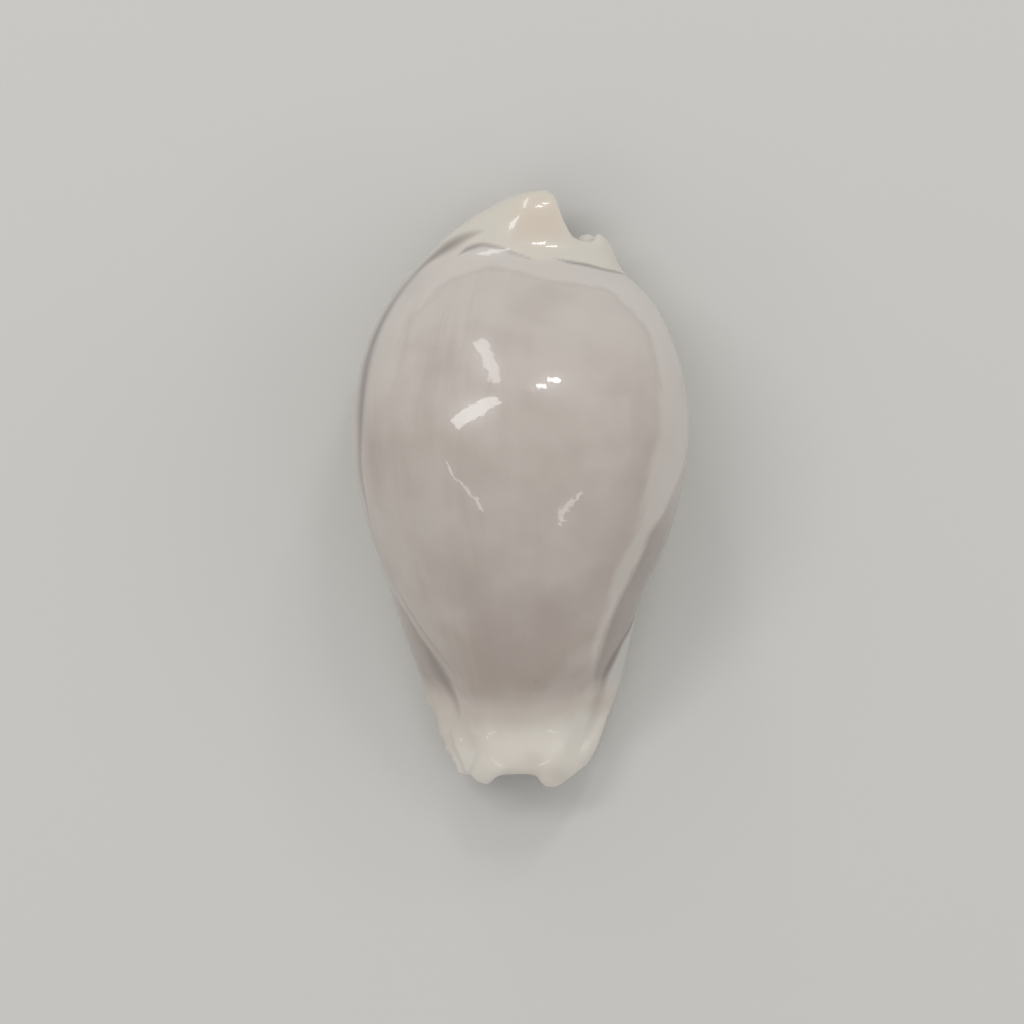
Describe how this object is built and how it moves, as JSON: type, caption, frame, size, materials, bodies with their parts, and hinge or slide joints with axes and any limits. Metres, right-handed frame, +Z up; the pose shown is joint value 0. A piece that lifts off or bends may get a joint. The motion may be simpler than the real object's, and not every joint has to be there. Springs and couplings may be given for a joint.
{
  "type": "egg cowrie shell",
  "caption": "Glossy white egg-shaped sea shell with a long toothed slit underneath, a canal at each end and a pointed back.",
  "frame": {"origin": "on the surface that the shell rests on, under the middle of its box", "axes": "+Y along the shell towards the pointed back (spire) end, +Z up from the slit side to the back, -X towards the outer lip"},
  "size_m": [0.045, 0.0801, 0.036],
  "materials": {
    "shell": "polished natural porcelain-like enamel, greyish white over the back and creamy white round the canals"
  },
  "bodies": {
    "root": {"shell": "shell"}
  },
  "joints": []
}
